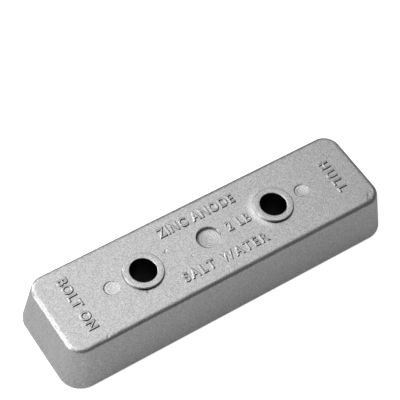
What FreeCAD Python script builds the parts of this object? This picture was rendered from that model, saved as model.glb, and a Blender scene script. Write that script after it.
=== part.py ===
"""Sacrificial anode: one block of zinc, cast in a metal mould, with two bolt holes.

Frame: X runs along the block, Y across it, and Z out from the hull that it is bolted to. The
origin is the middle of the seat, which is the plane of the two pads that bear on the hull.
The outer face looks towards +Z. Lengths are in millimetres and angles in degrees.
"""

import FreeCAD
import Part

import math
import os

# Block, widest at its base, so that it leaves the mould. Its length and width are those of the
# sharp base, before the edges are rounded.
base_length = 152.4
base_width = 45.4
block_height = 22.2
mould_draft = 9.4
base_corner_radius = 9.4
face_corner_radius = 6.8
face_edge_round = 2.1
base_edge_round = 0.5

# Bolt holes, left by two core pins
hole_diameter = 10.7
hole_spacing = 61.5
hole_mouth_round = 0.3
hole_seat_bevel = 0.5

# Raised bosses round the holes on the outer face, where the nuts seat
boss_wall = 2.8
boss_rise = 1.3
boss_rim_round = 0.4

# Low pads round the holes on the base, which bear on the hull
pad_wall = 5.1
pad_rise = 0.2
pad_rim_slope = 45.0

# Dished marks that the mould's three ejector pins leave in the outer face
centre_mark_diameter = 10.6
centre_mark_wall = 0.7
centre_mark_dish = 0.45
end_mark_diameter = 6.4
end_mark_wall = 0.2
end_mark_dish = 0.2
end_mark_gap = 2.9

# Places and sizes that follow from those above
hole_radius = hole_diameter / 2
boss_radius = hole_radius + boss_wall
pad_radius = hole_radius + pad_wall
hole_places = (-hole_spacing / 2, hole_spacing / 2)
end_mark_place = hole_spacing / 2 + boss_radius + end_mark_gap + end_mark_diameter / 2
draft_inset = block_height * math.tan(math.radians(mould_draft))
face_length = base_length - 2 * draft_inset
face_width = base_width - 2 * draft_inset

# Levels along Z
seat_level = 0.0
base_level = seat_level + pad_rise
face_level = base_level + block_height
boss_level = face_level + boss_rise

# How far a cutter starts outside the surface that it cuts
cutter_overrun = 1.0
# Two levels or radii closer than this are the same
same = 1e-4

ORIGIN = FreeCAD.Vector(0, 0, 0)
ALONG = FreeCAD.Vector(1, 0, 0)
UP = FreeCAD.Vector(0, 0, 1)


def level_edges(shape, level, radius=None):
    """Edges that lie in a level plane. With a radius, only the circles of that radius."""
    found = []
    for edge in shape.Edges:
        box = edge.BoundBox
        if abs(box.ZMin - level) > same or abs(box.ZMax - level) > same:
            continue
        if radius is None:
            found.append(edge)
        elif isinstance(edge.Curve, Part.Circle) and abs(edge.Curve.Radius - radius) < same:
            found.append(edge)
    return found


def disc(place, radius, low, high):
    """Upright cylinder on the block's long centre line, between two levels."""
    return Part.makeCylinder(radius, high - low, FreeCAD.Vector(place, 0, low), UP)


def flared_disc(place, radius, level, depth, slope):
    """Upright cone that is the given radius at one level and widens as it goes into the block."""
    wide_radius = radius + abs(depth) * math.tan(math.radians(slope))
    into = FreeCAD.Vector(0, 0, math.copysign(1, depth))
    return Part.makeCone(radius, wide_radius, abs(depth), FreeCAD.Vector(place, 0, level), into)


def drafted_block():
    """The block from its base to its outer face, with all its edges rounded."""
    # A wedge is made along Y, from its base at Y = 0, and is then turned to stand upright
    block = Part.makeWedge(
        -base_length / 2, 0, -base_width / 2, -face_width / 2, -face_length / 2,
        base_length / 2, block_height, base_width / 2, face_width / 2, face_length / 2,
    )
    block.rotate(ORIGIN, ALONG, 90)
    block.translate(FreeCAD.Vector(0, 0, base_level))
    # The corner edges run from the base to the face, and their radius changes on the way
    corners = [edge for edge in block.Edges if edge.BoundBox.ZLength > block_height / 2]
    block = block.makeFillet(base_corner_radius, face_corner_radius, corners)
    block = block.makeFillet(face_edge_round, level_edges(block, face_level))
    return block.makeFillet(base_edge_round, level_edges(block, base_level))


def boss(place):
    """Boss that stands on the outer face, before its hole is cut."""
    blank = flared_disc(place, boss_radius, boss_level, -(boss_rise + block_height / 2), mould_draft)
    rim_round = min(boss_rim_round, boss_rise / 2)
    return blank.makeFillet(rim_round, level_edges(blank, boss_level))


def seat_pad(place):
    """Pad that stands out of the base, before its hole is cut."""
    return flared_disc(place, pad_radius, seat_level, 2 * pad_rise, pad_rim_slope)


def ejector_mark(place, diameter, wall, dish):
    """Cutter for one mark: a short upright wall, and a floor that is dished like a saucer."""
    radius = diameter / 2
    rim_level = face_level - wall
    floor_level = rim_level - dish
    dish_radius = (radius**2 + dish**2) / (2 * dish)
    half_way = radius / 2
    half_way_level = floor_level + dish_radius - math.sqrt(dish_radius**2 - half_way**2)
    floor = FreeCAD.Vector(0, 0, floor_level)
    on_dish = FreeCAD.Vector(half_way, 0, half_way_level)
    rim = FreeCAD.Vector(radius, 0, rim_level)
    top_edge = FreeCAD.Vector(radius, 0, face_level + cutter_overrun)
    top = FreeCAD.Vector(0, 0, face_level + cutter_overrun)
    profile = Part.Wire(
        [
            Part.Arc(floor, on_dish, rim).toShape(),
            Part.LineSegment(rim, top_edge).toShape(),
            Part.LineSegment(top_edge, top).toShape(),
            Part.LineSegment(top, floor).toShape(),
        ]
    )
    cutter = Part.Face(profile).revolve(ORIGIN, UP, 360)
    cutter.translate(FreeCAD.Vector(place, 0, 0))
    return cutter


def bolt_hole(place):
    """Cutter for one straight hole right through the boss, the block and the pad."""
    return disc(place, hole_radius, seat_level - cutter_overrun, boss_level + cutter_overrun)


def anode_casting():
    """The whole casting, as it leaves the mould."""
    casting = drafted_block()
    casting = casting.fuse([boss(place) for place in hole_places])
    casting = casting.fuse([seat_pad(place) for place in hole_places])
    casting = casting.cut([bolt_hole(place) for place in hole_places])
    casting = casting.makeFillet(hole_mouth_round, level_edges(casting, boss_level, hole_radius))
    casting = casting.makeChamfer(hole_seat_bevel, level_edges(casting, seat_level, hole_radius))
    marks = [ejector_mark(0, centre_mark_diameter, centre_mark_wall, centre_mark_dish)]
    for place in (-end_mark_place, end_mark_place):
        marks.append(ejector_mark(place, end_mark_diameter, end_mark_wall, end_mark_dish))
    return casting.cut(marks)


os.makedirs("parts", exist_ok=True)
casting = anode_casting()
casting.exportStep("parts/anode_casting.step")
print("valid", casting.isValid(), "solids", len(casting.Solids), "faces", len(casting.Faces))
print("volume", round(casting.Volume, 1), "box", casting.BoundBox)
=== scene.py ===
"""Looks of the sacrificial anode: one as-cast zinc block on a plain pale floor, in soft studio light."""

import math
import random

import bpy
import numpy as np
from mathutils import Matrix, Vector


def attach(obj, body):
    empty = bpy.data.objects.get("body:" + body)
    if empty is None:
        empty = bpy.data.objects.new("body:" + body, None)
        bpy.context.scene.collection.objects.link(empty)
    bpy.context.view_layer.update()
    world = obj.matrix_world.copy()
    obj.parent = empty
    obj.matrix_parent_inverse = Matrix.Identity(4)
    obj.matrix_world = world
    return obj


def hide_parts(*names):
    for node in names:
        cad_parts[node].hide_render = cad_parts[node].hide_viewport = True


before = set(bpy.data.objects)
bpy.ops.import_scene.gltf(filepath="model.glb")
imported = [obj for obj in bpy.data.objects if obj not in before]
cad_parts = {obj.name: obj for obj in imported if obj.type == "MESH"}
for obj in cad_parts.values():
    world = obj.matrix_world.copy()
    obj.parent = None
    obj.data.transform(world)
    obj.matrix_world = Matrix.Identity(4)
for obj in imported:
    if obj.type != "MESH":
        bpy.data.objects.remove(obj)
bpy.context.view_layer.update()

MM = 0.001
right_angle = math.radians(90)

# Block, in metres, with the sizes of the construction model
base_length = 152.4 * MM
base_width = 45.4 * MM
block_height = 22.2 * MM
mould_draft = math.radians(9.4)
base_corner_radius = 9.4 * MM
face_corner_radius = 6.8 * MM
face_edge_round = 2.1 * MM
base_edge_round = 0.5 * MM

# Holes, bosses and pads. The holes' mouths are a little rounder and the bosses a little lower than in
# the construction model, to match the lines of light at their rims
hole_radius = 5.35 * MM
hole_spacing = 61.5 * MM
hole_mouth_round = 0.5 * MM
hole_seat_bevel = 0.5 * MM
boss_radius = hole_radius + 2.8 * MM
boss_rise = 1.17 * MM
boss_rim_round = 0.4 * MM
pad_radius = hole_radius + 5.1 * MM
pad_rise = 0.2 * MM

# Ejector marks in the outer face. Each is a dished pan with sloping walls, and leans a little
centre_mark_radius = 5.3 * MM
centre_mark_depth = 0.76 * MM
centre_mark_dish = 0.22 * MM
centre_mark_flare = 0.5
centre_mark_lean = math.radians(5.0)
centre_mark_deep_side = math.radians(108)
end_mark_radius = 3.2 * MM
left_mark_depth = 0.3 * MM
left_mark_dish = 0.14 * MM
left_mark_lean = math.radians(4.6)
left_mark_deep_side = math.radians(188)
right_mark_depth = 0.18 * MM
right_mark_dish = 0.26 * MM
right_mark_lean = math.radians(3.8)
right_mark_deep_side = math.radians(140)
end_mark_flare = 1.0
end_mark_gap = 2.9 * MM
tool_ring_gap = 1.1 * MM
tool_ring_depth = 0.02 * MM

# What follows from those sizes
base_level = pad_rise
face_level = base_level + block_height
boss_level = face_level + boss_rise
draft_inset = block_height * math.tan(mould_draft)
face_length = base_length - 2 * draft_inset
face_width = base_width - 2 * draft_inset
hole_places = (-hole_spacing / 2, hole_spacing / 2)
end_mark_place = hole_spacing / 2 + boss_radius + end_mark_gap + end_mark_radius

# Raised letters, cast in the outer face: plain words for the metal, its weight and how it is used.
# A stroke is a ridge that swells past the font's own outline, slopes down to both sides and has its
# root in the face
letter_height = 4.75 * MM
letter_rise = 0.34 * MM
letter_root = 0.3 * MM
letter_slope_width = 0.42 * MM
letter_swell = 0.36 * MM
letter_width_share = 0.88
cap_share_of_size = 0.682
across = -right_angle
# Each group of words has its place, its turn and the space between its letters
words_on_face = {
    "ZINC ANODE": ((1.0 * MM, 11.35 * MM), 0, 1.15),
    "SALT WATER": ((0.5 * MM, -10.95 * MM), 0, 1.35),
    "2 LB": ((14.0 * MM, 0.4 * MM), 0, 1.2),
    "BOLT ON": ((-60.35 * MM, 0.5 * MM), across, 1.2),
    "HULL": ((60.0 * MM, -0.5 * MM), across, 1.45),
}

# Mesh
corner_segments = 20
face_round_segments = 10
base_round_segments = 4
circle_steps = 128
arc_steps = 6
dish_steps = 36
same_place = 0.02 * MM
# How far a cutter reaches past the surface that it cuts
past = 2 * MM
skin_voxel = 0.25 * MM
skin_triangles = 120_000
smooth_angle = math.radians(19)

# As-cast skin
skin_wave = 2.2 * MM
skin_wave_depth = 0.014 * MM
skin_grain = 0.9 * MM
skin_grain_depth = 0.01 * MM

# Finish of the metal. A noise has its size, its detail and its roughness
mottle_noise = (3.0 * MM, 3.0, 0.6)
speckle_noise = (0.46 * MM, 1.0, 0.7)
pitting_noise = (0.6 * MM, 2.0, 0.6)
mottle_range = (0.3, 0.7)
grey_range = (0.6, 0.65)
speckle_range = (0.3, 1.7)
roughness_range = (0.30, 0.38)
pitting_depth = 0.1 * MM
# Painted shade: the grey that the holes' walls and shaded mouths are painted
hole_shade_grey = 0.05

# Painted shade, as the share of light that it takes away
root_painted_shade = 0.45
corner_painted_shade = 0.48
letter_painted_shade = 0.9
dish_painted_shade = 0.3
# It is painted most on the faces that look this way, away from the lamps on the left, and little on the
# others
shaded_side = (0.78, -0.62, 0.0)
lit_side_share = 0.2
# Painted light: the marks' floors are painted this much brighter
floor_painted_light_gain = 1.12

# Limits of the masks that place painted shade and painted light: where each one starts, and where it is
# full.
# Levels are heights, slopes are the upward part of the normal, facings are its part towards the shaded
# side, and the rest are distances
outer_levels = (base_level, face_level - 2 * MM)
shaded_facing = (-0.35, 0.3)
root_inside = (boss_radius - 0.2 * MM, boss_radius)
root_outside = (boss_radius + 0.5 * MM, boss_radius + 0.3 * MM)
root_levels = (boss_level - 0.4 * MM, boss_level - 0.7 * MM)
corner_inside = (centre_mark_radius - 1.4 * MM, centre_mark_radius - 0.6 * MM)
corner_outside = (centre_mark_radius + 2 * MM, centre_mark_radius)
corner_levels = (face_level - 0.35 * MM, face_level - 0.75 * MM)
letter_foot_levels = (face_level, face_level + 0.02 * MM)
letter_top_levels = (face_level + 2 * letter_rise, face_level + 1.5 * letter_rise)
letter_slopes = (0.97, 0.93)
dish_toward_side = (0.5 * MM, -5.5 * MM)
dish_outside = (centre_mark_radius, centre_mark_radius - 0.2 * MM)
dish_levels = (face_level - 0.1 * MM, face_level - 0.3 * MM)
mark_floor_slopes = (0.8, 0.95)
mark_floor_levels = (face_level - 0.02 * MM, face_level - 0.1 * MM)
wall_outside = (hole_radius + 0.08 * MM, hole_radius + 0.02 * MM)
mouth_outside = (hole_radius + hole_mouth_round, hole_radius + 0.7 * hole_mouth_round)
mouth_slopes = (0.98, 0.9)
mouth_facing = (-0.2, 0.5)

# Wear on the outer face. A pit has its place, size and depth, and a speck of metal is a negative pit
pits = (
    (-18.9 * MM, 3.4 * MM, 0.35 * MM, 0.2 * MM),
    (-18.1 * MM, 3.8 * MM, 0.4 * MM, 0.22 * MM),
    (-10.3 * MM, -3.4 * MM, 0.4 * MM, 0.22 * MM),
    (-42.1 * MM, 0.8 * MM, 0.35 * MM, 0.12 * MM),
    (-42.4 * MM, -0.9 * MM, 0.35 * MM, 0.12 * MM),
    (-34.7 * MM, -8.6 * MM, 0.4 * MM, -0.15 * MM),
    (-37.0 * MM, -8.0 * MM, 0.3 * MM, 0.1 * MM),
    (-33.8 * MM, -8.9 * MM, 0.3 * MM, 0.1 * MM),
    (-57.2 * MM, -17.5 * MM, 0.5 * MM, 0.2 * MM),
    (-59.2 * MM, -17.8 * MM, 0.9 * MM, 0.1 * MM),
    (-61.2 * MM, -18.0 * MM, 0.9 * MM, 0.08 * MM),
    (-54.6 * MM, -17.8 * MM, 0.8 * MM, 0.08 * MM),
    (-51.4 * MM, -17.3 * MM, 0.4 * MM, -0.07 * MM),
    (67.4 * MM, -15.6 * MM, 0.7 * MM, 0.12 * MM),
    (69.6 * MM, -15.0 * MM, 1.2 * MM, 0.12 * MM),
    (66.8 * MM, -17.6 * MM, 1.0 * MM, 0.1 * MM),
    (65.2 * MM, -16.6 * MM, 0.4 * MM, -0.1 * MM),
)
scratches = (
    ((64.1 * MM, 11.1 * MM), (63.8 * MM, -4.1 * MM), 0.25 * MM, 0.035 * MM),
    ((-69.2 * MM, 16.4 * MM), (-68.6 * MM, 14.0 * MM), 0.25 * MM, 0.05 * MM),
    ((-68.0 * MM, 15.6 * MM), (-67.6 * MM, 12.8 * MM), 0.25 * MM, 0.03 * MM),
    ((-66.8 * MM, 14.0 * MM), (-66.6 * MM, 11.4 * MM), 0.25 * MM, 0.04 * MM),
    ((-67.4 * MM, 9.6 * MM), (-67.3 * MM, 6.8 * MM), 0.25 * MM, 0.03 * MM),
)
wear_seed = 7
# A rough patch has its middle, its spread, how many strokes it has and how deep they are
rough_patches = (
    ((-69.8 * MM, 15.0 * MM), 1.3 * MM, 30, 0.03 * MM),
    ((-66.5 * MM, 11.0 * MM), 2.6 * MM, 30, 0.018 * MM),
    ((68.0 * MM, -16.0 * MM), 1.4 * MM, 20, 0.035 * MM),
    ((-58.0 * MM, -17.4 * MM), 1.6 * MM, 20, 0.025 * MM),
)
stroke_drift = 0.15 * MM
stroke_reach = 1.0 * MM
stroke_widths = (0.2 * MM, 0.4 * MM)
stray_pits = 160
stray_pit_depth = 0.02 * MM
stray_pit_sizes = (0.25 * MM, 0.5 * MM)
# Shares of the full depth. Below zero, the metal stands out
stroke_shares = (-0.4, 1)
stray_pit_shares = (-0.5, 1)

# Metal that crept out beside the right boss, with its angles in degrees
flash_direction = 166
flash_half_angle = 40
flash_reach = 2.2 * MM
flash_height = 0.42 * MM
# Painted highlight: the crept-out metal is painted brighter on this side of the boss, towards the lamps,
# within these limits
flash_lit_side = (-0.98, 0.17, 0.0)
flash_highlight_gain = 1.35
flash_toward_lit_side = (2.0 * MM, 8.0 * MM)
flash_inside = (boss_radius, boss_radius + 0.2 * MM)
flash_outside = (boss_radius + 3.6 * MM, boss_radius + 1.0 * MM)
flash_levels = (face_level - 1.0 * MM, face_level - 0.5 * MM)

# Studio. The floor's papers each have a grey and a glow, and a soft box has its azimuth and elevation in
# degrees, its distance, width and height in metres, and its power in watts
floor_size = 6
mirrored_paper = (0.62, 0.062)
seen_paper = (0.9, 0.8)
room_glow = 0.108
soft_boxes = {
    "left_high": (-90, 62, 0.8, 0.6, 0.6, 1.17),
    "left_middle": (-105, 28, 0.7, 0.25, 0.3, 0.25),
    "left_near": (-125, 45, 0.45, 0.25, 0.25, 0.21),
    "left_side": (-70, 30, 0.7, 0.25, 0.25, 0.17),
    "left_low": (-100, 14, 0.4, 0.15, 0.1, 0.36),
    "back_left_low": (-148, 15, 0.5, 0.2, 0.12, 0.45),
    "back_high": (158, 61, 0.8, 0.7, 0.55, 0.6),
    "back_main": (141, 54, 0.8, 0.35, 0.35, 0.085),
    "back_middle": (-175, 35, 0.7, 0.3, 0.25, 0.52),
    "back_wide": (-170, 70, 0.8, 0.8, 0.5, 0.5),
    "overhead": (0, 88, 0.7, 0.4, 0.4, 0.05),
    "right_high": (92, 70, 0.8, 0.35, 0.3, 0.08),
    "near_high": (20, 72, 0.8, 0.3, 0.3, 0.09),
    "back_right_low": (130, 25, 0.7, 0.3, 0.2, 0.08),
}

# Camera, as fitted to the edges and holes in the picture, in pixels of its 400 x 400 frame
frame_side = 400
camera_focal = 1484.5
camera_azimuth = math.radians(-38.57)
camera_elevation = math.radians(54.53)
camera_roll = math.radians(6.57)
camera_distance = 603.7 * MM
camera_nearest = 10 * MM
object_right_of_middle = 5.71
object_below_middle = 68.30
sensor_width = 36.0


def deselect_everything():
    """Leaves object mode with nothing selected and nothing active."""
    bpy.ops.object.select_all(action="DESELECT")
    bpy.context.view_layer.objects.active = None


def select_only(*pieces):
    """Selects these pieces and nothing else, and makes the first of them active."""
    deselect_everything()
    for piece in pieces:
        piece.select_set(True)
    bpy.context.view_layer.objects.active = pieces[0]


def edit(piece):
    """Opens one piece in edit mode, with nothing in it selected."""
    select_only(piece)
    bpy.ops.object.mode_set(mode="EDIT")
    bpy.ops.mesh.select_mode(type="EDGE")
    bpy.ops.mesh.select_all(action="DESELECT")


def leave_edit():
    """Goes back to object mode."""
    bpy.ops.object.mode_set(mode="OBJECT")


def select_edges(piece, wanted):
    """In an open piece, selects the edges whose two ends both satisfy a test."""
    bpy.ops.object.mode_set(mode="OBJECT")
    mesh = piece.data
    for edge in mesh.edges:
        edge.select = all(wanted(mesh.vertices[index].co) for index in edge.vertices)
    bpy.ops.object.mode_set(mode="EDIT")


def apply_modifier(piece, kind, **settings):
    """Adds one modifier with its settings, and applies it."""
    select_only(piece)
    modifier = piece.modifiers.new(kind.lower(), kind)
    for name, value in settings.items():
        setattr(modifier, name, value)
    bpy.ops.object.modifier_apply(modifier=modifier.name)


def joined(pieces, name):
    """One object made of several, under a new name."""
    select_only(*pieces)
    bpy.ops.object.join()
    pieces[0].name = name
    return pieces[0]


def settle(piece):
    """Puts a piece's place, turn and scale into its mesh."""
    select_only(piece)
    bpy.ops.object.transform_apply(location=True, rotation=True, scale=True)


def round_edges(piece, wanted, radius, inner_angle, segments):
    """Rounds the chosen edges to a radius, where two faces meet at an inner angle."""
    edit(piece)
    select_edges(piece, wanted)
    setback = radius / math.tan(inner_angle / 2)
    bpy.ops.mesh.bevel(
        offset=setback, offset_type="OFFSET", segments=segments, profile=0.5, affect="EDGES",
    )
    leave_edit()


def edges_at(level):
    """Test for the points of a piece that lie at one level."""
    return lambda point: abs(point.z - level) < same_place


def rounded_outline(length, width, radius, level):
    """Loop of edges round a rectangle with round corners."""
    deselect_everything()
    bpy.ops.mesh.primitive_plane_add(size=1, location=(0, 0, level))
    outline = bpy.context.object
    outline.scale = (length, width, 1)
    settle(outline)
    edit(outline)
    bpy.ops.mesh.select_all(action="SELECT")
    bpy.ops.mesh.bevel(offset=radius, segments=corner_segments, profile=0.5, affect="VERTICES")
    bpy.ops.mesh.select_all(action="SELECT")
    bpy.ops.mesh.delete(type="ONLY_FACE")
    leave_edit()
    return outline


def tapered_block():
    """The block: base and face outlines bridged and capped, with rounded edges."""
    base = rounded_outline(base_length, base_width, base_corner_radius, base_level)
    face = rounded_outline(face_length, face_width, face_corner_radius, face_level)
    block = joined([base, face], "zinc_casting")
    edit(block)
    bpy.ops.mesh.select_all(action="SELECT")
    bpy.ops.mesh.bridge_edge_loops()
    bpy.ops.mesh.select_all(action="SELECT")
    bpy.ops.mesh.fill_holes(sides=0)
    bpy.ops.mesh.select_all(action="SELECT")
    bpy.ops.mesh.normals_make_consistent(inside=False)
    leave_edit()
    face_corner = right_angle + mould_draft
    base_corner = right_angle - mould_draft
    round_edges(block, edges_at(face_level), face_edge_round, face_corner, face_round_segments)
    round_edges(block, edges_at(base_level), base_edge_round, base_corner, base_round_segments)
    return block


def quarter_arc(radius, level, size, start, end):
    """Rings along an arc of the given size, between two angles. Its centre is a radius and a level."""
    angles = [start + (end - start) * step / arc_steps for step in range(arc_steps + 1)]
    return [(radius + size * math.cos(angle), level + size * math.sin(angle)) for angle in angles]


def turned(place, rings):
    """Closed round piece on the block's long centre line, raised ring by ring from its lowest."""
    radius, level = rings[0]
    deselect_everything()
    bpy.ops.mesh.primitive_circle_add(
        vertices=circle_steps, radius=radius, fill_type="NGON", location=(0, 0, level)
    )
    piece = bpy.context.object
    settle(piece)
    edit(piece)
    bpy.ops.mesh.select_mode(type="FACE")
    bpy.ops.mesh.select_all(action="SELECT")
    for next_radius, next_level in rings[1:]:
        bpy.ops.mesh.extrude_region_move(TRANSFORM_OT_translate={"value": (0, 0, next_level - level)})
        share = next_radius / radius
        bpy.ops.transform.resize(value=(share, share, 1), center_override=(0, 0, 0))
        radius, level = next_radius, next_level
    bpy.ops.mesh.select_all(action="SELECT")
    bpy.ops.mesh.normals_make_consistent(inside=False)
    leave_edit()
    piece.location = (place, 0, 0)
    settle(piece)
    return piece


def boss(place):
    """Raised boss round one hole, with drafted sides and a rounded rim. Its foot is inside the block."""
    foot = face_level - boss_rise
    foot_radius = boss_radius + (boss_level - foot) * math.tan(mould_draft)
    round_centre = boss_radius + boss_rim_round * (math.tan(mould_draft) - 1 / math.cos(mould_draft))
    rim = quarter_arc(
        round_centre, boss_level - boss_rim_round, boss_rim_round, mould_draft, right_angle,
    )
    return turned(place, [(foot_radius, foot)] + rim)


def seat_pad(place):
    """Low pad round one hole, on the base, with a rim at 45 degrees that goes on into the block."""
    depth = 4 * pad_rise
    return turned(place, [(pad_radius, 0), (pad_radius + depth, depth)])


def bolt_hole(place):
    """Cutter for one hole, with a bevel at the hull and a rounded mouth at the boss."""
    bevel = [(hole_radius + hole_seat_bevel + past, -past), (hole_radius, hole_seat_bevel)]
    mouth = quarter_arc(
        hole_radius + hole_mouth_round, boss_level - hole_mouth_round, hole_mouth_round,
        2 * right_angle, right_angle,
    )
    above = [(hole_radius + hole_mouth_round + past, boss_level + past)]
    return turned(place, bevel + mouth + above)


def ejector_mark(place, radius, depth, dish, flare, lean, deep_side):
    """Cutter for one mark: a dished floor with faint rings from turning, and a sloping wall."""
    floor_radius = radius - flare * depth
    rings = []
    for step in range(1, dish_steps + 1):
        share = step / dish_steps
        ripple = tool_ring_depth * math.cos(2 * math.pi * share * floor_radius / tool_ring_gap)
        rings.append((share * floor_radius, share**2 * dish + ripple))
    rings.append((floor_radius + flare * (depth + past), rings[-1][1] + depth + past))
    cutter = turned(0, rings)
    cutter.rotation_euler = (-lean * math.sin(deep_side), lean * math.cos(deep_side), 0)
    cutter.location = (place, 0, face_level - depth - dish)
    settle(cutter)
    return cutter


def combine(piece, others, operation):
    """Adds to or cuts from a piece, and deletes what was used."""
    for other in others:
        apply_modifier(piece, "BOOLEAN", operation=operation, object=other, solver="MANIFOLD")
        bpy.data.objects.remove(other)


def raised_words(words, place, turn, spacing):
    """Letters as one closed mesh of low ridges with sloping sides, rooted in the outer face."""
    deselect_everything()
    bpy.ops.object.text_add(location=(0, 0, 0))
    lettering = bpy.context.object
    text = lettering.data
    text.body = words
    text.size = (letter_height - 2 * letter_swell) / cap_share_of_size
    text.align_x = "CENTER"
    text.align_y = "CENTER"
    text.space_character = spacing
    bpy.ops.object.convert(target="CURVE")
    lettering.scale = (letter_width_share, 1, 1)
    bpy.ops.object.transform_apply(location=False, rotation=False, scale=True)
    steepness = letter_rise / letter_slope_width
    outlines = lettering.data
    outlines.offset = letter_swell - letter_slope_width
    outlines.extrude = letter_root / 2 / steepness
    outlines.bevel_depth = letter_slope_width
    outlines.bevel_resolution = 0
    bpy.ops.object.convert(target="MESH")
    edit(lettering)
    bpy.ops.mesh.select_all(action="SELECT")
    bpy.ops.mesh.remove_doubles(threshold=1e-6)
    bpy.ops.mesh.normals_make_consistent(inside=False)
    leave_edit()
    lettering.scale = (1, 1, steepness)
    settle(lettering)
    lettering.rotation_euler = (0, 0, turn)
    lettering.location = (*place, face_level - letter_root / 2)
    settle(lettering)
    return lettering


def clouds(name, size):
    """Soft noise of a given size, for displacement."""
    noise = bpy.data.textures.new(name, "CLOUDS")
    noise.noise_scale = size
    noise.noise_depth = 1
    return noise


def cast_skin(casting):
    """One even skin over the block, with the waves and grain that a metal mould leaves.

    Both only press the skin in, so it stays within the block's own size.
    """
    apply_modifier(casting, "REMESH", mode="VOXEL", voxel_size=skin_voxel, adaptivity=0)
    apply_modifier(casting, "SMOOTH", factor=0.5, iterations=2)
    waves = clouds("skin_wave", skin_wave)
    grain = clouds("skin_grain", skin_grain)
    for noise, depth in ((waves, skin_wave_depth), (grain, skin_grain_depth)):
        apply_modifier(
            casting, "DISPLACE", texture=noise, texture_coords="LOCAL", strength=depth, mid_level=1.0,
        )


def bump_at(flat, place, size):
    """Round soft bump of height 1 at a place on the outer face."""
    x, y = place
    return np.exp(-((flat[:, 0] - x) ** 2 + (flat[:, 1] - y) ** 2) / size**2)


def streak(flat, start, end, width):
    """Soft streak of height 1 between two places on the outer face."""
    start, end = np.array(start), np.array(end)
    along = end - start
    share = np.clip((flat - start) @ along / (along @ along), 0, 1)
    apart = np.linalg.norm(flat - start - share[:, None] * along, axis=1)
    return np.exp(-((apart / width) ** 2))


def rough_stroke(flat, luck, middle, spread, deep):
    """Depth of one stroke of a rough patch, at a random place near the patch's middle."""
    x, y = middle
    start = (luck.gauss(x, spread), luck.gauss(y, spread))
    end = (start[0] + luck.gauss(0, stroke_drift), start[1] + luck.uniform(-1.0, 1.0) * stroke_reach)
    return luck.uniform(*stroke_shares) * deep * streak(flat, start, end, luck.uniform(*stroke_widths))


def stray_pit(flat, luck):
    """Depth of one faint pit or speck, at a random place on the outer face."""
    place = (luck.uniform(-0.5, 0.5) * face_length, luck.uniform(-0.5, 0.5) * face_width)
    deep = luck.uniform(*stray_pit_shares) * stray_pit_depth
    return deep * bump_at(flat, place, luck.uniform(*stray_pit_sizes))


def pressed_in(flat):
    """How deep the wear goes at each point of the outer face. Below zero, metal stands out."""
    depth = np.zeros(len(flat))
    for x, y, size, deep in pits:
        depth += deep * bump_at(flat, (x, y), size)
    for start, end, width, deep in scratches:
        depth += deep * streak(flat, start, end, width)
    luck = random.Random(wear_seed)
    for middle, spread, count, deep in rough_patches:
        for _ in range(count):
            depth += rough_stroke(flat, luck, middle, spread, deep)
    for _ in range(stray_pits):
        depth += stray_pit(flat, luck)
    return depth


def boss_flash(flat):
    """Height of the metal that crept out beside the right boss, on the side towards the middle."""
    x, y = hole_places[1], 0
    apart = np.hypot(flat[:, 0] - x, flat[:, 1] - y)
    turn = np.degrees(np.arctan2(flat[:, 1] - y, flat[:, 0] - x))
    off_turn = (turn - flash_direction + 180) % 360 - 180
    spread = np.exp(-np.clip(apart - boss_radius, 0, None) / flash_reach)
    return flash_height * spread * np.exp(-((off_turn / flash_half_angle) ** 2))


def wear(casting):
    """Moves the points of the outer face along their normals, for the marks of casting and use."""
    mesh = casting.data
    count = len(mesh.vertices)
    points, normals = np.empty(3 * count), np.empty(3 * count)
    mesh.vertices.foreach_get("co", points)
    mesh.vertices.foreach_get("normal", normals)
    points, normals = points.reshape(-1, 3), normals.reshape(-1, 3)
    near_face = points[:, 2] > face_level - face_edge_round
    flat = points[near_face, :2]
    moved = boss_flash(flat) - pressed_in(flat)
    points[near_face] += normals[near_face] * moved[:, None]
    mesh.vertices.foreach_set("co", points.ravel())
    mesh.update()


def thin_out(casting):
    """Fewer triangles where the skin is nearly flat, to stay within the limit for one piece."""
    # The skin is all quads, of two triangles each
    triangles = 2 * len(casting.data.polygons)
    apply_modifier(casting, "DECIMATE", decimate_type="COLLAPSE", ratio=skin_triangles / triangles)


def ejector_marks():
    """Cutters for the marks of the mould's three ejector pins."""
    return [
        ejector_mark(
            0, centre_mark_radius, centre_mark_depth, centre_mark_dish, centre_mark_flare,
            centre_mark_lean, centre_mark_deep_side,
        ),
        ejector_mark(
            -end_mark_place, end_mark_radius, left_mark_depth, left_mark_dish, end_mark_flare,
            left_mark_lean, left_mark_deep_side,
        ),
        ejector_mark(
            end_mark_place, end_mark_radius, right_mark_depth, right_mark_dish, end_mark_flare,
            right_mark_lean, right_mark_deep_side,
        ),
    ]


def zinc_casting():
    """The whole casting: a worn block, and the crisp forms that the mould and its pins leave on it."""
    casting = tapered_block()
    cast_skin(casting)
    wear(casting)
    thin_out(casting)
    combine(casting, [boss(place) for place in hole_places], "UNION")
    combine(casting, [seat_pad(place) for place in hole_places], "UNION")
    combine(casting, [raised_words(words, *how) for words, how in words_on_face.items()], "UNION")
    combine(casting, [bolt_hole(place) for place in hole_places], "DIFFERENCE")
    combine(casting, ejector_marks(), "DIFFERENCE")
    apply_modifier(casting, "TRIANGULATE")
    select_only(casting)
    bpy.ops.object.shade_smooth_by_angle(angle=smooth_angle)
    return casting


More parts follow.
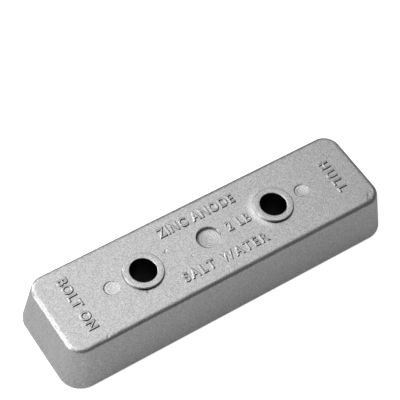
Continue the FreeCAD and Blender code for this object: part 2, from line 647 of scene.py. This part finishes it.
class Nodes:
    """Short way to add and link shader nodes. Values are outputs of nodes, or plain numbers."""

    def __init__(self, tree):
        self.tree = tree

    def add(self, kind, settings=None, **values):
        """New node with its settings, and with its inputs' values by name."""
        node = self.tree.nodes.new(kind)
        for name, value in (settings or {}).items():
            setattr(node, name, value)
        for name, value in values.items():
            node.inputs[name.replace("_", " ")].default_value = value
        return node

    def link(self, start, end):
        """Links an output to an input."""
        self.tree.links.new(start, end)

    def maths(self, operation, *values):
        """One sum, difference, absolute value or the like."""
        node = self.add("ShaderNodeMath", {"operation": operation})
        for slot, value in zip(node.inputs, values):
            if isinstance(value, (int, float)):
                slot.default_value = value
            else:
                self.link(value, slot)
        return node.outputs["Value"]

    def product(self, first, *others):
        """Several values multiplied."""
        for other in others:
            first = self.maths("MULTIPLY", first, other)
        return first

    def less(self, value, mask, share):
        """A value less a share of a mask."""
        return self.maths("SUBTRACT", value, self.product(mask, share))

    def gain(self, mask, most):
        """Gain that is 1 outside a mask and the given most inside it."""
        return self.maths("ADD", 1.0, self.product(mask, most - 1))

    def rescaled(self, value, old, new, clamp=True):
        """A value taken from its old range to a new one."""
        node = self.add(
            "ShaderNodeMapRange", {"clamp": clamp},
            From_Min=old[0], From_Max=old[1], To_Min=new[0], To_Max=new[1],
        )
        self.link(value, node.inputs["Value"])
        return node.outputs["Result"]

    def band(self, value, limits):
        """Soft mask: 0 up to where it starts, and 1 from where it is full. It may run down the scale."""
        start, full = limits
        node = self.add(
            "ShaderNodeMapRange", {"interpolation_type": "SMOOTHSTEP"},
            From_Min=min(limits), From_Max=max(limits),
            To_Min=float(start > full), To_Max=float(start < full),
        )
        self.link(value, node.inputs["Value"])
        return node.outputs["Result"]

    def noise(self, spot, size, detail, roughness):
        """Noise between 0 and 1, with spots of about the given size."""
        node = self.add("ShaderNodeTexNoise", Scale=1 / size, Detail=detail, Roughness=roughness)
        self.link(spot, node.inputs["Vector"])
        return node.outputs["Fac"]

    def parts(self, vector):
        """The X, Y and Z of a vector."""
        node = self.add("ShaderNodeSeparateXYZ")
        self.link(vector, node.inputs["Vector"])
        return [node.outputs[name] for name in "XYZ"]

    def toward(self, vector, way):
        """How far a vector reaches along a fixed way."""
        node = self.add("ShaderNodeVectorMath", {"operation": "DOT_PRODUCT"})
        node.inputs[1].default_value = way
        self.link(vector, node.inputs[0])
        return node.outputs["Value"]

    def from_axis(self, x, y):
        """Distance from an upright axis, from the two distances along X and Y."""
        flat = self.add("ShaderNodeCombineXYZ")
        self.link(x, flat.inputs["X"])
        self.link(y, flat.inputs["Y"])
        node = self.add("ShaderNodeVectorMath", {"operation": "LENGTH"})
        self.link(flat.outputs["Vector"], node.inputs[0])
        return node.outputs["Value"]


class CastingNodes(Nodes):
    """Nodes of the casting's metal, with what its masks are worked out from: place and facing."""

    def __init__(self, tree):
        super().__init__(tree)
        here = self.add("ShaderNodeTexCoord")
        self.spot = here.outputs["Object"]
        self.normal = here.outputs["Normal"]
        self.x, self.y, self.height = self.parts(self.spot)
        self.slope = self.parts(self.normal)[2]
        self.facing_shaded_side = self.toward(self.normal, shaded_side)
        from_hole_along_x = self.maths("SUBTRACT", self.maths("ABSOLUTE", self.x), hole_spacing / 2)
        self.from_hole = self.from_axis(from_hole_along_x, self.y)
        self.from_middle = self.from_axis(self.x, self.y)
        self.outer = self.band(self.height, outer_levels)


def speckled_grey(zinc, mottle):
    """Grey of the cast face, softly mottled and finely speckled."""
    grey = zinc.rescaled(mottle, mottle_range, grey_range)
    speckle = zinc.rescaled(zinc.noise(zinc.spot, *speckle_noise), (0.0, 1.0), speckle_range, clamp=False)
    return zinc.product(grey, speckle)


def boss_roots(zinc):
    """Mask of a thin ring round the foot of each boss."""
    return zinc.product(
        zinc.band(zinc.from_hole, root_inside), zinc.band(zinc.from_hole, root_outside),
        zinc.band(zinc.height, root_levels),
    )


def middle_mark_corner(zinc):
    """Mask of the corner between the floor and the wall of the middle mark."""
    return zinc.product(
        zinc.band(zinc.height, corner_levels), zinc.band(zinc.from_middle, corner_inside),
        zinc.band(zinc.from_middle, corner_outside), zinc.outer,
    )


def middle_mark_dish(zinc):
    """Mask of the painted shade on the dished floor of the middle mark, strongest where it is farthest from
    the shaded side.
    """
    return zinc.product(
        zinc.band(zinc.toward(zinc.spot, shaded_side), dish_toward_side),
        zinc.band(zinc.from_middle, dish_outside), zinc.band(zinc.height, dish_levels), zinc.outer,
    )


def letter_sides(zinc):
    """Mask of the sloping sides of the raised letters."""
    return zinc.product(
        zinc.band(zinc.height, letter_foot_levels), zinc.band(zinc.height, letter_top_levels),
        zinc.band(zinc.slope, letter_slopes),
    )


def mark_floors(zinc):
    """Mask of the floors of all the marks."""
    return zinc.product(
        zinc.band(zinc.slope, mark_floor_slopes), zinc.band(zinc.height, mark_floor_levels), zinc.outer,
    )


def light_kept(zinc):
    """Share of the light that the painted shade leaves, with painted light a little above 1 on the floors
    of the marks.
    """
    # The shaded side keeps all its painted shade, and the others keep only a share
    shade_share = zinc.product(zinc.band(zinc.facing_shaded_side, shaded_facing), 1 - lit_side_share)
    shade_share = zinc.maths("ADD", shade_share, lit_side_share)
    # Painted shade round the feet of the bosses, strongest on their shaded side
    kept = zinc.less(1.0, zinc.product(boss_roots(zinc), shade_share, zinc.outer), root_painted_shade)
    # Painted shade on the middle mark's dished floor and in the corner at its wall
    kept = zinc.product(kept, zinc.less(1.0, middle_mark_dish(zinc), dish_painted_shade))
    kept = zinc.less(kept, middle_mark_corner(zinc), corner_painted_shade)
    # Painted shade on the sides of the letters that face the shaded side
    kept = zinc.less(kept, zinc.product(letter_sides(zinc), shade_share), letter_painted_shade)
    # Painted light: the floors of the marks are brightened
    return zinc.product(kept, zinc.gain(mark_floors(zinc), floor_painted_light_gain))


def painted_flash_highlight(zinc):
    """Painted highlight: gain that brightens the metal that crept out beside the right boss, on its side
    towards the lamps.
    """
    from_boss = zinc.from_axis(zinc.maths("SUBTRACT", zinc.x, hole_spacing / 2), zinc.y)
    to_side = zinc.maths("ADD", zinc.toward(zinc.spot, flash_lit_side), hole_spacing / 2)
    flash = zinc.product(
        zinc.band(to_side, flash_toward_lit_side), zinc.band(from_boss, flash_outside),
        zinc.band(from_boss, flash_inside), zinc.band(zinc.height, flash_levels),
    )
    return zinc.gain(flash, flash_highlight_gain)


def painted_hole_shade(zinc):
    """Mask of painted shade in the holes: each hole's wall, and its mouth on the shaded side."""
    wall = zinc.band(zinc.from_hole, wall_outside)
    mouth = zinc.product(
        zinc.band(zinc.from_hole, mouth_outside), zinc.band(zinc.slope, mouth_slopes),
        zinc.band(zinc.facing_shaded_side, mouth_facing),
    )
    return zinc.maths("MAXIMUM", wall, mouth)


def empty_material(name):
    """New material without nodes."""
    material = bpy.data.materials.new(name)
    material.use_nodes = True
    material.node_tree.nodes.clear()
    return material


def cast_zinc():
    """Bare cast zinc: satin grey, mottled and speckled, with painted shade at its corners, bosses and
    letters, painted nearly black in its holes, and with painted light on the marks' floors and the
    crept-out metal.
    """
    material = empty_material("cast_zinc")
    zinc = CastingNodes(material.node_tree)
    metal = zinc.add("ShaderNodeBsdfPrincipled", Metallic=1.0)
    output = zinc.add("ShaderNodeOutputMaterial")
    zinc.link(metal.outputs["BSDF"], output.inputs["Surface"])

    mottle = zinc.noise(zinc.spot, *mottle_noise)
    # Speckled grey, darkened by painted shade and brightened by painted light and a painted highlight
    grey = zinc.product(speckled_grey(zinc, mottle), light_kept(zinc), painted_flash_highlight(zinc))
    # Painted shade: the holes' walls and their mouths on the shaded side are painted nearly black
    shade = zinc.add("ShaderNodeMix", {"data_type": "FLOAT"})
    zinc.link(painted_hole_shade(zinc), shade.inputs[0])
    zinc.link(grey, shade.inputs[2])
    shade.inputs[3].default_value = hole_shade_grey
    colour = zinc.add("ShaderNodeCombineColor")
    for channel in ("Red", "Green", "Blue"):
        zinc.link(shade.outputs[0], colour.inputs[channel])
    zinc.link(colour.outputs["Color"], metal.inputs["Base Color"])

    zinc.link(zinc.rescaled(mottle, mottle_range, roughness_range), metal.inputs["Roughness"])
    bump = zinc.add("ShaderNodeBump", Strength=1.0, Distance=pitting_depth)
    zinc.link(zinc.noise(zinc.spot, *pitting_noise), bump.inputs["Height"])
    zinc.link(bump.outputs["Normal"], metal.inputs["Normal"])
    return material


def glowing_paper(nodes, grey, strength):
    """Matt paper of a given grey that also gives off a little light."""
    paper = nodes.add("ShaderNodeBsdfDiffuse", Color=(grey, grey, grey, 1))
    glow = nodes.add("ShaderNodeEmission", Color=(1, 1, 1, 1), Strength=strength)
    both = nodes.add("ShaderNodeAddShader")
    nodes.link(paper.outputs["BSDF"], both.inputs[0])
    nodes.link(glow.outputs["Emission"], both.inputs[1])
    return both.outputs["Shader"]


def seen_by_camera(nodes):
    """Mask that is 1 for what the camera sees itself, and 0 for what the metal mirrors."""
    return nodes.add("ShaderNodeLightPath").outputs["Is Camera Ray"]


def floor_paper():
    """Floor that is white as the camera sees it, and a plain mid grey as the metal mirrors it."""
    material = empty_material("floor_paper")
    nodes = Nodes(material.node_tree)
    choice = nodes.add("ShaderNodeMixShader")
    nodes.link(seen_by_camera(nodes), choice.inputs["Fac"])
    nodes.link(glowing_paper(nodes, *mirrored_paper), choice.inputs[1])
    nodes.link(glowing_paper(nodes, *seen_paper), choice.inputs[2])
    output = nodes.add("ShaderNodeOutputMaterial")
    nodes.link(choice.outputs["Shader"], output.inputs["Surface"])
    return material


def pale_floor():
    """Wide floor that the anode stands on."""
    deselect_everything()
    bpy.ops.mesh.primitive_plane_add(size=floor_size)
    floor = bpy.context.object
    floor.name = "studio_floor"
    floor.data.materials.append(floor_paper())


def direction(azimuth, elevation):
    """Unit vector from the object: azimuth 0 looks from the near side, and 90 from the right end."""
    level = math.cos(elevation)
    return Vector((math.sin(azimuth) * level, -math.cos(azimuth) * level, math.sin(elevation)))


def soft_box(name, azimuth, elevation, distance, width, height, power):
    """Rectangular lamp that faces the object, and that the camera doesn't see."""
    lamp = bpy.data.lights.new(name, "AREA")
    lamp.shape = "RECTANGLE"
    lamp.size = width
    lamp.size_y = height
    lamp.energy = power
    holder = bpy.data.objects.new(name, lamp)
    bpy.context.scene.collection.objects.link(holder)
    outward = direction(math.radians(azimuth), math.radians(elevation))
    holder.location = outward * distance
    holder.rotation_euler = outward.to_track_quat("Z", "Y").to_euler()
    holder.visible_camera = False


def dim_room():
    """Room round the floor: white as the camera sees it, and a dim grey as the metal mirrors it."""
    world = bpy.data.worlds.new("room")
    bpy.context.scene.world = world
    world.use_nodes = True
    world.node_tree.nodes.clear()
    nodes = Nodes(world.node_tree)
    room = nodes.add("ShaderNodeBackground", Color=(1, 1, 1, 1))
    output = nodes.add("ShaderNodeOutputWorld")
    glow = nodes.rescaled(seen_by_camera(nodes), (0.0, 1.0), (room_glow, 1.0))
    nodes.link(glow, room.inputs["Strength"])
    nodes.link(room.outputs["Background"], output.inputs["Surface"])


def studio_light():
    """Soft boxes on the left, behind and above, and a dim room."""
    for name, how in soft_boxes.items():
        soft_box(name, *how)
    dim_room()


def studio_camera():
    """Camera at the picture's own angle and distance, with colours shown as they are."""
    back = direction(camera_azimuth, camera_elevation)
    level_right = Vector((0, 0, 1)).cross(back).normalized()
    level_up = back.cross(level_right)
    right = math.cos(camera_roll) * level_right + math.sin(camera_roll) * level_up
    up = -math.sin(camera_roll) * level_right + math.cos(camera_roll) * level_up
    metres_per_pixel = camera_distance / camera_focal
    place = back * camera_distance
    place -= right * object_right_of_middle * metres_per_pixel
    place += up * object_below_middle * metres_per_pixel
    stand = Matrix((right, up, back)).transposed().to_4x4()
    stand.translation = place + Vector((0, 0, pad_rise))
    lens = bpy.data.cameras.new("camera")
    lens.sensor_width = sensor_width
    lens.lens = camera_focal * sensor_width / frame_side
    lens.clip_start = camera_nearest
    camera = bpy.data.objects.new("camera", lens)
    bpy.context.scene.collection.objects.link(camera)
    camera.matrix_world = stand
    bpy.context.scene.camera = camera
    bpy.context.scene.view_settings.view_transform = "Standard"


casting = zinc_casting()
casting.data.materials.clear()
casting.data.materials.append(cast_zinc())
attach(casting, "root")
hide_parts("anode_casting")

pale_floor()
studio_light()
studio_camera()
